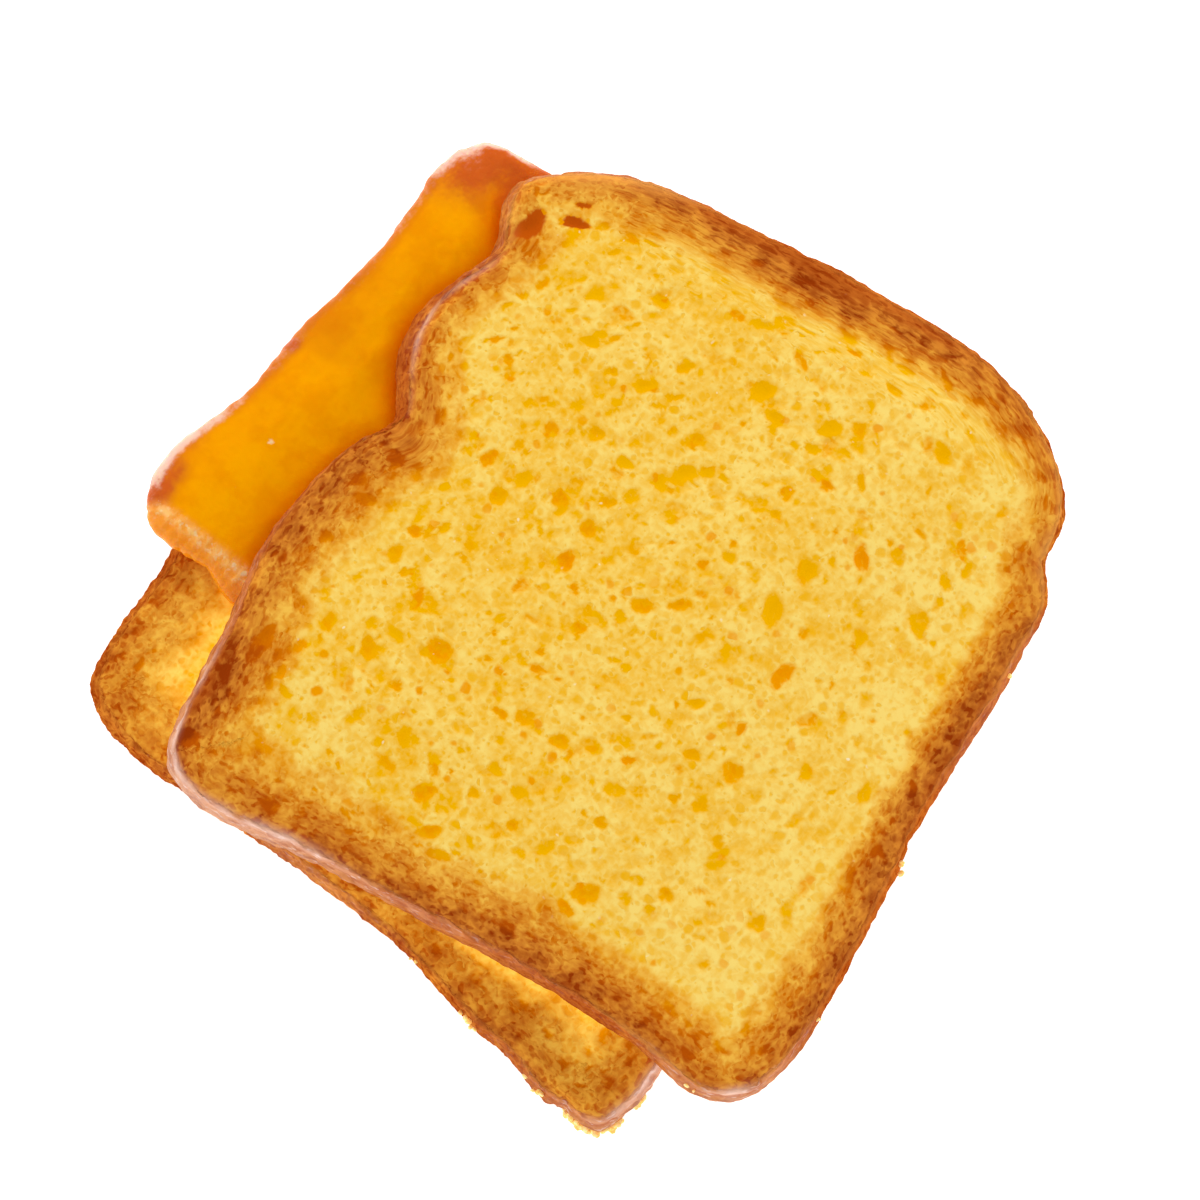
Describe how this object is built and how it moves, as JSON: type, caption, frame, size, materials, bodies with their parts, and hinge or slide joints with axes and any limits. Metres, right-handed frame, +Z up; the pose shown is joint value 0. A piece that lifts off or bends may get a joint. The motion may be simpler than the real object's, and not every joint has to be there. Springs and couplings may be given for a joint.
{
  "type": "grilled cheese sandwich",
  "caption": "Grilled cheese sandwich: toasted slices of square loaf with a melted cheese slice between them that hangs over one side. The upper slice lies turned and shifted on the lower one.",
  "frame": {"origin": "centre of the sandwich's footprint, on the surface that it lies on", "axes": "+Z up through the layers, +Y from the lower slice's base crust to its crown, +X to the right of that, away from the cheese that hangs out"},
  "size_m": [0.1428, 0.14, 0.0306],
  "materials": {
    "toast_golden": "buttered golden toasted crumb with a browned edge",
    "toast_brown": "buttered orange-brown toasted crumb",
    "melted_cheese": "glossy melted orange cheese"
  },
  "bodies": {
    "root": {"bread_slice_bottom": "toast_brown", "cheese_slice": "melted_cheese", "bread_slice_top": "toast_golden"}
  },
  "joints": []
}
